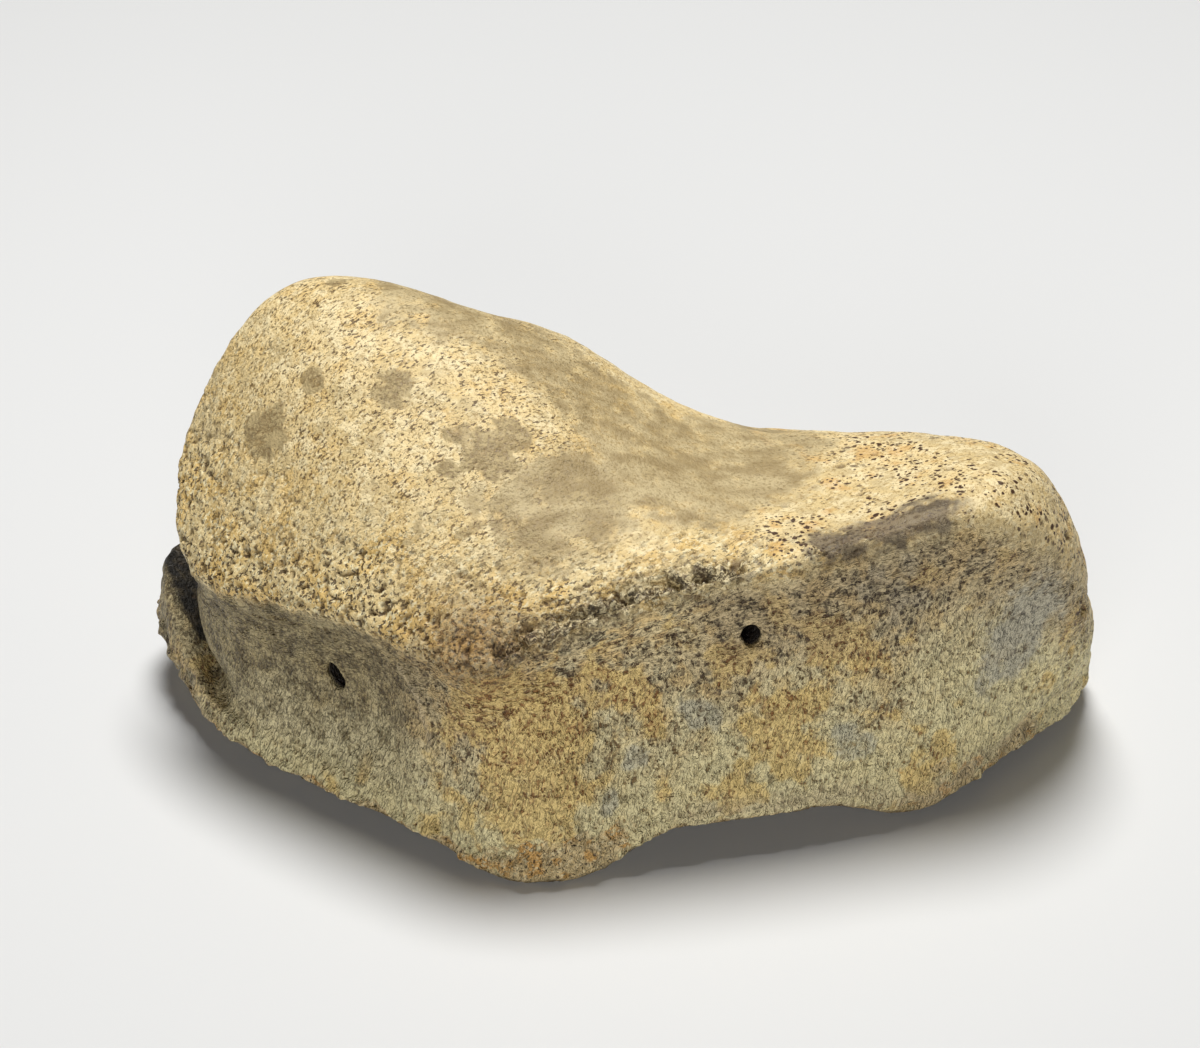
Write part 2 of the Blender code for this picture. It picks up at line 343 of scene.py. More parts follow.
points = evened(read_points(), np.ones(count), EVEN_ROUNDS)
compass = np.degrees(np.arctan2(points[:, 1], points[:, 0])) % 360
below_face = joint_face(points[:, 0], points[:, 1]) - points[:, 2]
round_edge = sum(arched(compass, stretch) for stretch in ROUND_STRETCHES)
points = evened(points, round_edge * hump(below_face - ROUND_DEPTH, ROUND_WIDTH), WORN_ROUNDS)
write_points(points)

# Each point of the surface is told by its compass, its level on the wall (0 at the rim, 1 under the lip), its
# depth under the joint face and how far in from the lip it lies. The zones of the bone come from these. A
# stretch along the lip or the rim is its strength, its first and last compass, and its softness.
RIGHT_END = (1.0, 282, 374, 20)
LIP_STRETCHES = ((1.0, 155, 282, 20), (0.9, 282, 306, 16), (0.35, 330, 360, 24))
FACE_EDGE, WORN_SPREAD, FACE_LEVEL = (0.9, 2.6), (-0.6, 2.4), (0.45, 0.75)
UNDERSIDE_FACING, UNDERSIDE_HEIGHT = (0.35, 0.8), (8.5, 10)
HIGH_CONDYLE, LOW_CONDYLE, COARSE_WIDTH = (0, 9), (5, 13), (0.5, 12.0)
# what makes a number for each cell of a grid out of the cell's place
CELL_PRIMES, SEED_PRIME, LARGEST = (73856093, 19349663, 83492791), 2654435761, 0xFFFFFFFF
SCRAMBLES = ((16, 0x7FEB352D), (15, 0x846CA68B), (16, 1))
SEED_STEP = 7


def hashed(cell, seed):
    """A number from 0 to 1 for each cell of a grid, the same in every run."""
    x, y, z = (place * prime for place, prime in zip(cell, CELL_PRIMES))
    number = ((x ^ y ^ z ^ seed * SEED_PRIME) & LARGEST).astype(np.uint32)
    for shift, factor in SCRAMBLES:
        number ^= number >> shift
        number *= np.uint32(factor)
    return number / LARGEST


def lumps(points, size, seed):
    """Smooth lumps and dips about size across, mostly between -1 and 1."""
    place = points / size
    base = np.floor(place).astype(np.int64)
    inside = place - base
    blend = inside**3 * (inside * (inside * 6 - 15) + 10)
    total = np.zeros(len(points))
    for corner in itertools.product((0, 1), repeat=3):
        cell = (base + corner).T
        away = inside - corner
        slope = sum(away[:, axis] * (2 * hashed(cell, SEED_STEP * seed + axis) - 1) for axis in range(3))
        total += slope * np.prod(np.where(corner, blend, 1 - blend), axis=1)
    return 2 * total


def read_normals():
    flat = np.empty(count * 3)
    skin.vertex_normals.foreach_get("vector", flat)
    return flat.reshape(-1, 3)


normals = read_normals()
x, y, z = points.T
compass = np.degrees(np.arctan2(y, x)) % 360
foot = rim_edge(compass, 1)[1]
level = (z - foot) / (lip_bottom(compass) - foot)
below_face = joint_face(x, y) - z
inset = lip_reach(compass) - np.hypot(x, y)
along = climb(x, y)

wander = lumps(points, size=3.0, seed=1)
drift = lumps(points, size=7.0, seed=2)
ragged = 0.55 * lumps(points, size=1.6, seed=3) + 0.35 * lumps(points, size=0.7, seed=4)
worn_end = arched(compass, RIGHT_END)
face_start, face_end = (depth + spread * worn_end for depth, spread in zip(FACE_EDGE, WORN_SPREAD))
face = fade(below_face + 0.8 * ragged, face_start, face_end)
face *= ease(level, *FACE_LEVEL)
under = ease(-normals[:, 2], *UNDERSIDE_FACING) * fade(z, *UNDERSIDE_HEIGHT)
side = (1 - face) * (1 - under)
high_condyle = face * ease(along + 2 * drift, *HIGH_CONDYLE)
low_condyle = face * ease(-along + 1.5 * drift, *LOW_CONDYLE)
lip_band = sum(arched(compass, stretch) for stretch in LIP_STRETCHES)
coarse = face * np.clip(lip_band * fade(inset + 3 * drift + 1.5 * wander, *COARSE_WIDTH), 0, 1)

# The saddle is worn smooth and dull along its middle, and a patch on the sole side of it is painted as shade in
# the same dull tone.
SADDLE_LINE, SADDLE_REACH = ((-19, 18, 47), (-11, 12, 44), (-3, 3, 38), (5, -2, 35.5), (14, 3, 33)), (3.0, 10.0)
SHADE_LINE, SHADE_REACH = ((-13, -11, 37), (-5, -9, 36.5), (3, -8, 35), (12, -4, 32.5)), (2.0, 9.0)


def along_line(points, line):
    """How far each point is from a line through the given places."""
    best = np.full(len(points), np.inf)
    for start, end in zip(line[:-1], line[1:]):
        start, step = np.array(start), np.array(end) - np.array(start)
        share = np.clip((points - start) @ step / (step @ step), 0, 1)
        best = np.minimum(best, np.linalg.norm(points - start - share[:, None] * step, axis=1))
    return best


worn = fade(along_line(points, SADDLE_LINE) + 2.5 * drift + 1.5 * ragged, *SADDLE_REACH)
# A patch of painted shade on the sole side of the saddle, joined to the wear.
shaded = fade(along_line(points, SHADE_LINE) + 2.0 * drift + 1.5 * ragged, *SHADE_REACH)
worn = face * np.maximum(0.8 * worn, shaded)

# Smooth brown stains on the high condyle: place and size of each, and a line of small flecks below them.
STAINS = (
    (-38.1, 9.5, 37.7, 3.2),
    (-25.8, 4.5, 44.2, 2.6),
    (-33.1, 9.9, 42.8, 1.7),
    (-17.5, -4.9, 40.8, 3.3),
    (-15.0, -3.2, 41.2, 2.6),
    (-20.4, -2.2, 42.3, 1.9),
    (-22.2, -5.1, 39.9, 1.4),
    (-28.1, 21.8, 47.4, 1.1),
)
STAIN_EDGE = (0.70, 1.10)
FLECK_LINE, FLECK_REACH = ((-30, -6, 36), (-22, -12, 36), (-12, -10, 37), (-2, -9, 36)), 5.0
FLECK_STRETCH, FLECK_EDGE, FLECK_STRENGTH = (0.55, 1, 1), (0.25, 0.6), 0.8
stain = np.zeros(count)
for *place, size in STAINS:
    away = np.linalg.norm(points - place, axis=1)
    stain = np.maximum(stain, fade(away / size + 0.5 * ragged, *STAIN_EDGE))
flecks = ease(lumps(points * FLECK_STRETCH, size=2.0, seed=5) + 0.5 * ragged, *FLECK_EDGE)
flecks *= FLECK_STRENGTH * hump(along_line(points, FLECK_LINE), FLECK_REACH)
stain = np.maximum(stain, flecks) * face

SWIRL, SWIRL_SIZE, SWIRL_SEEDS = 0.35, 1.5, (11, 12, 13)
swirl = points + SWIRL * np.stack([lumps(points, SWIRL_SIZE, seed) for seed in SWIRL_SEEDS], axis=1)
EVEN, LEAST_ZONE, FAR = (1, 1, 1), 0.03, 9.0


def spots(points, size, seed):
    """How far each point is from the nearest of the scattered spots, in sizes, and a number that marks the spot."""
    place = points / size
    base = np.floor(place).astype(np.int64)
    nearest = np.full(len(points), FAR)
    mark = np.zeros(len(points))
    for step in itertools.product((-1, 0, 1), repeat=3):
        cell = (base + step).T
        middle = [cell[axis] + hashed(cell, SEED_STEP * seed + axis) for axis in range(3)]
        away = sum((middle[axis] - place[:, axis]) ** 2 for axis in range(3))
        closer = away < nearest
        nearest = np.where(closer, away, nearest)
        mark = np.where(closer, hashed(cell, SEED_STEP * seed + 3), mark)
    return np.sqrt(nearest), mark


def pressed(zone, stretch, size, seed, width, share):
    """Pits in one zone, 1 inside each: a share of the scattered spots, each about width across."""
    depth = np.zeros(count)
    chosen = zone > LEAST_ZONE
    away, mark = spots(swirl[chosen] * stretch, size, seed)
    radius = width / size / 2 * (0.55 + 0.9 * (mark * 97 % 1))
    depth[chosen] = np.where(mark < share, fade(away, 0.35 * radius, 1.15 * radius), 0)
    return depth * zone


def waved(zone, stretch, size, seed):
    """Lumps in one zone."""
    height = np.zeros(count)
    chosen = zone > LEAST_ZONE
    height[chosen] = lumps(swirl[chosen] * stretch, size, seed)
    return height * zone


# The joint face is a crumbly mesh near the lip, with clefts that lie along the bone, and has clear pits on the
# low condyle.
LIE, CLEFT_STRETCH = radians(18), (0.55, 1, 0.9)
laid = np.stack((x * np.cos(LIE) + y * np.sin(LIE), y * np.cos(LIE) - x * np.sin(LIE), z), axis=1)


def clefts(zone, size, seed, low, high):
    """Ragged clefts in one zone, drawn out along the bone, 1 inside each."""
    depth = np.zeros(count)
    chosen = zone > LEAST_ZONE
    hollow = lumps(laid[chosen] * CLEFT_STRETCH, size, seed) + 0.5 * lumps(laid[chosen], size / 2, seed + 1)
    depth[chosen] = ease(hollow, low, high)
    return depth * zone


bare = face * (1 - stain) * (1 - 0.9 * worn)
crumbs = waved(coarse, (0.8, 1, 1), size=0.9, seed=22)
holes = clefts(coarse * (1 - 0.6 * stain), size=0.78, seed=23, low=0.38, high=0.58)
strokes = clefts(0.6 * coarse * bare, size=0.62, seed=27, low=0.42, high=0.62)
clear_pits = pressed(low_condyle * bare, EVEN, size=2.2, seed=24, width=0.85, share=0.5)

# The wall is felted with fibres that run down it, and round it under the lip. It is most open low down, and
# smooth at the left end.
UPPER_LEVEL, OPEN_LEVEL, SCOOP_LEVEL = (0.60, 0.95), (0.1, 0.85), (0.1, 0.5)
SMOOTH_STRETCH, SMOOTH_LEVEL = (1.0, 132, 206, 30), (0.0, 0.3)
upper = ease(level + 0.12 * drift, *UPPER_LEVEL)
fibres = waved(side, (1, 1, 0.4), size=0.6, seed=31) * (1 - upper)
fibres += waved(side, (0.4, 0.4, 1), size=0.55, seed=32) * upper
smooth_side = side * arched(compass, SMOOTH_STRETCH) * ease(level, *SMOOTH_LEVEL)
porous = side * (0.25 + 0.75 * fade(level + 0.15 * drift, *OPEN_LEVEL)) * (1 - 0.8 * smooth_side)
wall_pits = pressed(porous, (1, 1, 0.55), size=1.0, seed=33, width=0.62, share=0.5)
scoops = pressed(porous * fade(level, *SCOOP_LEVEL), (1, 1, 0.7), size=2.6, seed=36, width=1.5, share=0.35)

# Rows of deep pits: under the lip of the ligament side, and down the corner of the right end.
PIT_ROW = ((-40.5, 1.5, 19.8), (-37.5, -4.5, 22.0), (-34, -8.0, 22.3), (-31, -12, 23.3), (-27, -16, 23.5))
END_ROW = ((42, -15.5, 27), (43.5, -16, 20), (44, -16.5, 13), (42, -18, 7))
PIT_ROW_WIDTH, PIT_ROW_GAPS, END_ROW_WIDTH = (1.0, 2.4), (-0.5, 0.1), (1.8, 4.2)
pit_zone = side * fade(along_line(points, PIT_ROW), *PIT_ROW_WIDTH) * ease(wander, *PIT_ROW_GAPS)
row_pits = pressed(pit_zone, EVEN, size=1.15, seed=34, width=1.0, share=0.85)
end_zone = (1 - under) * fade(along_line(points, END_ROW), *END_ROW_WIDTH)
end_pits = pressed(end_zone, (1, 1, 0.6), size=1.3, seed=35, width=1.0, share=0.7)

# Marks that can be told one by one: the crumbly crevice under the lip of the sole side, the thin ledge and the
# shallow groove to the right of it, the trough behind the flange, which with the flange's outer face is painted
# dark as shadow, and a thin ridge by the ligament hollow.
CREVICE = ((-20.2, -22.2, 28.0), (-14.1, -22.3, 30.4), (-7.9, -22.0, 32.2), (-0.1, -21.7, 33.6), (3.4, -21.7, 34.1))
LEDGE = ((3.1, -23.2, 33.6), (9.9, -23.2, 34.6), (14.9, -23.5, 35.2), (20.1, -23.5, 35.7), (26.4, -23.4, 36.0))
GROOVE = ((13.6, -21.8, 36.2), (16.0, -21.6, 36.5), (20.2, -21.4, 37.2), (24.3, -21.6, 37.9))
TROUGH_LINE = ((-45.4, 24.0, 13.6), (-45.6, 22.8, 13.0), (-44.9, 20.6, 11.5), (-44.2, 18.0, 9.4))
WALL_RIDGE = ((-28.9, -12.4, 21.2), (-27.4, -14.6, 18.6), (-26.6, -16.0, 14.0))
CREVICE_WIDTH, LEDGE_WIDTH, GROOVE_WIDTH, RIDGE_WIDTH, TROUGH_REACH = 1.9, 0.45, 2.6, 0.35, (1.6, 3.6)
FLANGE_EDGE, FLANGE_EDGE_LEVEL = (0.32, 138, 170, 12), (0.0, 0.12)
crevice = hump(along_line(points, CREVICE) + 0.7 * ragged, CREVICE_WIDTH)
ledge = hump(along_line(points, LEDGE) + 0.2 * ragged, LEDGE_WIDTH)
groove = hump(along_line(points, GROOVE) + 0.8 * ragged, GROOVE_WIDTH)
wall_ridge = hump(along_line(points, WALL_RIDGE) + 0.2 * ragged, RIDGE_WIDTH)
# Painted shadow: the trough behind the flange and the flange's outer face are painted near-black.
behind_flange = side * fade(along_line(points, TROUGH_LINE) + 0.4 * ragged, *TROUGH_REACH)
outer_flange = side * arched(compass, FLANGE_EDGE) * fade(level + 0.06 * wander, *FLANGE_EDGE_LEVEL)
trough = np.maximum(behind_flange, outer_flange)

# The rim is broken: it has chips all round, and a crust at the near corner, low on the right and along the left.
NEAR_CORNER, RIGHT_FOOT, LEFT_RIM = (1.0, 226, 252, 10), (1.0, 312, 338, 12), (1.0, 150, 226, 12)
EDGE_LEVEL, NEAR_CRUST_LEVEL, RIGHT_CRUST_LEVEL = (-0.06, 0.02), (-0.02, 0.12), (-0.1, 0.08)
edge = side * fade(level + 0.05 * wander, *EDGE_LEVEL)
near_crust = side * arched(compass, NEAR_CORNER) * fade(level + 0.08 * ragged, *NEAR_CRUST_LEVEL)
right_crust = side * arched(compass, RIGHT_FOOT) * fade(level + 0.2 * wander, *RIGHT_CRUST_LEVEL)
crust = np.maximum(np.maximum(near_crust, right_crust), edge * arched(compass, LEFT_RIM))
chips = waved(np.maximum(edge, crust), EVEN, size=1.5, seed=42)

# How far each of these forms stands out of the stone or is sunk in it, in millimetres. The three flats that the
# bone rests on stay flat.
under_pits = pressed(under, EVEN, size=1.1, seed=47, width=0.8, share=0.6)
RELIEF = (
    (0.20, drift),
    (0.08, wander),
    (0.05, ragged * face),
    (0.30, edge * wander),
    (0.30, chips),
    (0.25, waved(crust, EVEN, size=0.8, seed=48)),
    (0.25, lumps(points, size=2.2, seed=43) * hump(below_face - 2.2, 2.2) * lip_band),
    (-1.5, crevice * np.clip(0.6 + 1.5 * ragged, -0.15, 1.3)),
    (0.30, ledge),
    (-0.4, groove),
    (0.25, wall_ridge),
    (-0.75, row_pits),
    (-0.55, end_pits),
    (0.12, fibres * (1 - 0.5 * smooth_side)),
    (0.20, waved(porous, (1, 1, 0.6), size=1.3, seed=44)),
    (-0.18, strokes),
    (-0.34, clear_pits),
    (-0.22, wall_pits),
    (-0.35, scoops),
    (0.10, crumbs),
    (-0.34, holes),
    (0.12, waved(coarse, EVEN, size=1.7, seed=45)),
    (0.08, waved(under, EVEN, size=1.2, seed=46)),
    (-0.3, under_pits),
)
FLAT_HEIGHT = 0.25
relief = sum(height * form for height, form in RELIEF) * ease(z, 0.0, FLAT_HEIGHT)
moved = points + normals * relief[:, None]
moved[:, 2] = np.maximum(moved[:, 2], 0)
write_points((moved + np.array(BONE_SHIFT)) * MM)
skin.polygons.foreach_set("use_smooth", np.ones(len(skin.polygons), bool))

# Colours lie on the wall in patches: ochre and blue-grey stains, painted shade under the lip, and painted bounce
# light that makes the foot pale. Each stain is its place and its size.
OCHRE = (
    (-17, -23, 18, 6),
    (-10, -23, 19, 5),
    (-19, -23, 10, 5),
    (-21, -21, 23, 3.5),
    (10, -22, 18, 5),
    (8, -24, 11, 4),
    (25, -24, 7, 4),
    (15, -22, 23, 4),
    (3, -23, 8, 3),
)
ASH = (
    (-6.4, -23, 13, 2.2),
    (16, -23.5, 12, 3.0),
    (-10, -24, 9, 1.8),
    (0, -22, 17, 2.5),
    (21, -22, 29, 5),
    (-27, -15, 9, 1.5),
    (-33, -6, 12, 1.5),
)
BLUE_GREY = ((35.8, -19.8, 22.6, 5.0), (34, -20.5, 17, 4.0))
OCHRE_EDGE, ASH_EDGE = (0.15, 0.80), (0.45, 1.0)
SOLE_LIP, LEFT_LIP, UNDER_LIP_LEVEL = (1.0, 272, 340, 24), (0.7, 130, 215, 24), (0.42, 0.90)
PALE_END, PALE_LEVEL, DARK_FLANGE = (0.35, 318, 384, 20), (0.05, 0.75), (0.9, 140, 172, 14)
RIM_HIGHLIGHT, RIM_HIGHLIGHT_LEVEL, RIM_HIGHLIGHT_WIDTH = (0.8, 264, 338, 12), -0.01, 0.045
TIP, TIP_STRETCH, TIP_SIZE = (-23.0, -19.5, 27.5), (0.8, 1, 1), 5.2
SUNK, HOLE_LEVELS = (0.4, 1.0), (0.4, 0.9)
patches = 0.6 * drift + 0.7 * waved(side, (1, 1, 0.8), size=2.6, seed=51) + 0.4 * ragged


def spread(places):
    """How strongly a stain lies on each point, from its places and their sizes."""
    return sum(hump(np.linalg.norm(points - place[:3], axis=1), place[3]) for place in np.array(places, float))


ochre = side * ease(spread(OCHRE) + 0.9 * patches, *OCHRE_EDGE)
ash = side * ease(spread(ASH) - 0.5 * patches, *ASH_EDGE)
# Painted shade on the wall under the overhanging lip, along the sole side and the left end.
lip_shade = arched(compass, SOLE_LIP) + arched(compass, LEFT_LIP)
under_lip = side * ease(level + 0.1 * wander, *UNDER_LIP_LEVEL) * lip_shade * (1 - 0.3 * worn_end)
# Painted bounce light from the floor: the wall is paler towards the foot, but not on the shaded flange.
pale_foot = side * fade(level + 0.2 * patches - arched(compass, PALE_END), *PALE_LEVEL)
pale_foot *= 1 - arched(compass, DARK_FLANGE)
# A painted highlight along the right part of the rim edge.
painted_rim_highlight = side * arched(compass, RIM_HIGHLIGHT) * hump(level + 0.04 * ragged - RIM_HIGHLIGHT_LEVEL, RIM_HIGHLIGHT_WIDTH)
tip = hump(np.linalg.norm((points - TIP) * TIP_STRETCH, axis=1) + ragged, TIP_SIZE)
# Painted shade inside the two vessel holes.
sunk = ease(wall(compass, np.clip(level, 0, 1))[0] - np.hypot(x, y), *SUNK)
painted_hole_shade = side * sunk * (level > HOLE_LEVELS[0]) * (level < HOLE_LEVELS[1])
pits = 0.8 * strokes + 0.9 * holes + clear_pits + 0.6 * wall_pits + 0.5 * scoops + row_pits + end_pits + under_pits


def mixed(stretch, sizes, seed, contrast):
    """An even grain about 0.5, from lumps of several sizes, each weaker than the one before."""
    total = sum(lumps(points * stretch, size, seed + step) * 0.6**step for step, size in enumerate(sizes))
    return 0.5 + contrast * total


zones = {
    "clouds": mixed(1, (6.0, 3.0), seed=61, contrast=0.25),
    "tints": mixed(1, (3.2, 1.6, 0.8), seed=64, contrast=0.24),
    "mottle": mixed(1, (1.8, 0.9, 0.5), seed=68, contrast=0.24),
    "streaks": mixed((0.45, 1, 1), (1.8, 0.9), seed=72, contrast=0.25),
    "joint_face": face,
    "high_condyle": high_condyle,
    "coarse": coarse,
    "worn": worn,
    "stain": stain,
    "pits": pits,
    "pitted": low_condyle * bare,
    "hole": painted_hole_shade,
    "crust": crust,
    "under": under,
    "smooth_side": smooth_side,
    "ochre": ochre,
    "ash": ash,
    "blue_grey": side * spread(BLUE_GREY),
    "under_lip": under_lip,
    "groove": groove,
    "trough": 1.3 * trough,
    "crevice": crevice,
    "pale_foot": pale_foot,
    "upper": upper,
    # painted highlights along the ledge, the wall ridge and the rim edge
    "ledge": ledge + wall_ridge + painted_rim_highlight,
    "tip": tip,
}
for name, values in zones.items():
    zone = skin.attributes.new(name, "FLOAT", "POINT")
    zone.data.foreach_set("value", np.clip(values, 0, 1).astype(np.float32))

# The stone's colour and grain. The zones above choose between tones, and each tone is grained at the real
# scale: threads on the wall, crumbs near the lip, strokes on the condyle.
fossil = bpy.data.materials.new("fossil_bone")
fossil.use_nodes = True
nodes, links = fossil.node_tree.nodes, fossil.node_tree.links
nodes.clear()
output = nodes.new("ShaderNodeOutputMaterial")
shader = nodes.new("ShaderNodeBsdfPrincipled")
links.new(shader.outputs[0], output.inputs["Surface"])
object_place = nodes.new("ShaderNodeTexCoord").outputs["Object"]


def plug(value, socket):
    """Joins a node's output to a socket, or sets the socket's own value."""
    if isinstance(value, bpy.types.NodeSocket):
        links.new(value, socket)
    else:
        socket.default_value = value


def maths(kind, *values):
    node = nodes.new("ShaderNodeMath")
    node.operation = kind
    for value, socket in zip(values, node.inputs):
        plug(value, socket)
    return node.outputs[0]


def times(first, second):
    return maths("MULTIPLY", first, second)


def plus(first, second, share=1.0):
    return maths("ADD", first, times(second, share))


def off_middle(value):
    return maths("SUBTRACT", value, 0.5)


def remap(value, low, high, bottom=0.0, top=1.0):
    """Moves smoothly from bottom to top while the value goes from low to high."""
    node = nodes.new("ShaderNodeMapRange")
    node.interpolation_type = "SMOOTHSTEP"
    for given, socket in zip((value, low, high, bottom, top), node.inputs):
        plug(given, socket)
    return node.outputs[0]


def srgb(red, green, blue):
    """A colour as seen, from 0 to 255, as the light that a shader works in."""
    share = [each / 255 for each in (red, green, blue)]
    return [each / 12.92 if each < 0.04045 else ((each + 0.055) / 1.055) ** 2.4 for each in share] + [1]


def mix(share, first, second):
    """One colour over another. A colour is a node's output or three numbers."""
    node = nodes.new("ShaderNodeMix")
    node.data_type = "RGBA"
    plug(share, node.inputs[0])
    for value, socket in ((first, node.inputs[6]), (second, node.inputs[7])):
        plug(srgb(*value) if isinstance(value, tuple) else value, socket)
    return node.outputs[2]


def layered(tone, layers):
    """Lays more tones over a first one, each as strongly as its share says."""
    for share, over in layers:
        tone = mix(share, tone, over)
    return tone


def zone_share(name, strength=1.0):
    node = nodes.new("ShaderNodeAttribute")
    node.attribute_name = name
    return node.outputs["Fac"] if strength == 1.0 else times(node.outputs["Fac"], strength)


def placed(size, turned=(0, 0, 0)):
    """A texture's place on the stone: its size in millimetres along each of three directions, turned by degrees."""
    mapping = nodes.new("ShaderNodeMapping")
    mapping.vector_type = "TEXTURE"
    plug(object_place, mapping.inputs["Vector"])
    mapping.inputs["Rotation"].default_value = [radians(each) for each in turned]
    mapping.inputs["Scale"].default_value = [each * MM for each in size]
    return mapping.outputs[0]


def grain(size, turned=(0, 0, 0), detail=2.0, roughness=0.6):
    node = nodes.new("ShaderNodeTexNoise")
    plug(placed(size, turned), node.inputs["Vector"])
    node.inputs["Scale"].default_value = 1.0
    node.inputs["Detail"].default_value = detail
    node.inputs["Roughness"].default_value = roughness
    return node.outputs[0]


def threads(size, turned, width):
    """A web of pale lines, where a grain crosses its middle value."""
    return remap(maths("ABSOLUTE", off_middle(grain(size, turned, roughness=0.5))), 0.0, width, 1.0, 0.0)


def pinholes(size, width, share):
    """Scattered round holes with ragged edges, 1 inside. Their width is told in shares of the size."""
    cells = nodes.new("ShaderNodeTexVoronoi")
    cells.inputs["Scale"].default_value = 1.0
    plug(placed((size, size, size)), cells.inputs["Vector"])
    marks = nodes.new("ShaderNodeSeparateColor")
    links.new(cells.outputs["Color"], marks.inputs[0])
    radius = maths("MULTIPLY_ADD", marks.outputs[1], width * 0.7, width * 0.2)
    away = plus(cells.outputs["Distance"], fine, 0.5)
    inside = remap(away, maths("MULTIPLY_ADD", radius, 0.6, 0.25), maths("ADD", radius, 0.25), 1.0, 0.0)
    return times(inside, maths("LESS_THAN", marks.outputs[0], share))


def blotchy(name, low, high, strength=1.0):
    """A zone with a broken edge, as a stain has."""
    uneven = times(plus(off_middle(mottle), off_middle(fine), 0.6), remap(zone_share(name), 0.0, 0.3))
    blotch = remap(plus(zone_share(name), uneven, 1.6), low, high)
    return blotch if strength == 1.0 else times(blotch, strength)


# Grains that every tone shares, and the marks that the joint face and the wall are strewn with.
ALONG = (0, 0, 18)
fine = grain((0.36, 0.36, 0.36), roughness=0.7)
speckle = grain((0.86, 0.44, 0.50), ALONG, detail=3.0, roughness=0.66)
mottle, tints, clouds, streaks = [zone_share(name) for name in ("mottle", "tints", "clouds", "streaks")]
coarse_share, upper_share, high_share = [zone_share(name) for name in ("coarse", "upper", "high_condyle")]
small_holes = maths("MAXIMUM", pinholes(0.85, width=0.56, share=0.8), pinholes(0.50, width=0.66, share=0.7))

stroke_marks = remap(plus(grain((0.66, 0.30, 0.36), ALONG), tints, -0.12), 0.330, 0.350, 1.0, 0.0)
cleft_grain = plus(grain((0.74, 0.42, 0.46), ALONG, detail=3.0, roughness=0.64), coarse_share, -0.05)
cleft_marks = remap(cleft_grain, 0.365, 0.395, 1.0, 0.0)
clefts_shown = times(cleft_marks, plus(times(high_share, 0.25), coarse_share, 0.65))
pitted_share = times(zone_share("pitted"), remap(plus(off_middle(tints), off_middle(clouds)), -0.22, 0.0))

web_down = threads((0.60, 0.60, 1.6), turned=(0, 16, 0), width=0.12)
web_round = threads((1.6, 1.6, 0.58), turned=(0, -14, 0), width=0.12)
web_choice = nodes.new("ShaderNodeMix")
for value, socket in zip((upper_share, web_down, web_round), (0, 2, 3)):
    plug(value, web_choice.inputs[socket])
web = web_choice.outputs[0]
specks = remap(grain((0.50, 0.50, 0.72), (0, -12, 0), roughness=0.62), 0.38, 0.45, 1.0, 0.0)
felt = plus(times(web, 0.34), fine, 1.1)
# The felt is lightened towards the foot by painted bounce light.
for part, share in ((mottle, 0.7), (zone_share("pale_foot"), 0.22), (specks, -0.26)):
    felt = plus(felt, part, share)
felt = remap(felt, 0.62, 1.22)
wall_pores = times(small_holes, remap(clouds, 0.42, 0.60))

# The joint face: cream stone with darker grain and painted glints, crumbly ochre near the lip with painted
# highlights on the crumbs and painted shadow between them, dull and grey-brown where it is worn and on a patch of
# painted shade beside it, brown where it is stained, and dark in its clefts and pits.
cream = layered(
    mix(remap(clouds, 0.38, 0.62), (230, 204, 146), (244, 218, 160)),
    (
        (remap(tints, 0.52, 0.70, 0.0, 0.5), (230, 192, 118)),
        (remap(tints, 0.34, 0.46, 0.55, 0.0), (206, 186, 140)),
        (remap(mottle, 0.48, 0.62, 0.0, 0.8), (250, 230, 180)),
        (remap(fine, 0.33, 0.52, 0.8, 0.0), (166, 134, 78)),
        # painted glints on the grain
        (remap(speckle, 0.56, 0.68, 0.0, 0.5), (255, 240, 196)),
        (times(stroke_marks, times(high_share, 0.85)), (84, 60, 28)),
    ),
)
# Crumbs near the lip, with painted highlights on their tops and painted shadow between them.
crumbly = mix(remap(tints, 0.40, 0.62), (240, 214, 154), (234, 196, 118))
crumbly = mix(remap(speckle, 0.50, 0.62), crumbly, (255, 240, 192))
crumbly = mix(remap(fine, 0.28, 0.40), (128, 94, 44), crumbly)
polished = mix(remap(plus(streaks, clouds), 0.75, 1.25), (168, 146, 102), (204, 184, 138))
polished = mix(remap(fine, 0.36, 0.54, 0.6, 0.0), polished, (146, 122, 76))
brown = mix(remap(plus(fine, mottle), 0.84, 1.16), (138, 116, 76), (190, 168, 120))
joint = layered(
    cream,
    (
        (times(coarse_share, 0.85), crumbly),
        (clefts_shown, (72, 50, 24)),
        (blotchy("worn", 0.05, 1.0), polished),
        (blotchy("stain", 0.2, 1.0, 0.92), brown),
        (times(remap(tints, 0.58, 0.72, 0.0, 0.35), pitted_share), (214, 160, 90)),
        (times(small_holes, pitted_share), (72, 44, 18)),
    ),
)


def felted(dark, light):
    return mix(felt, dark, light)
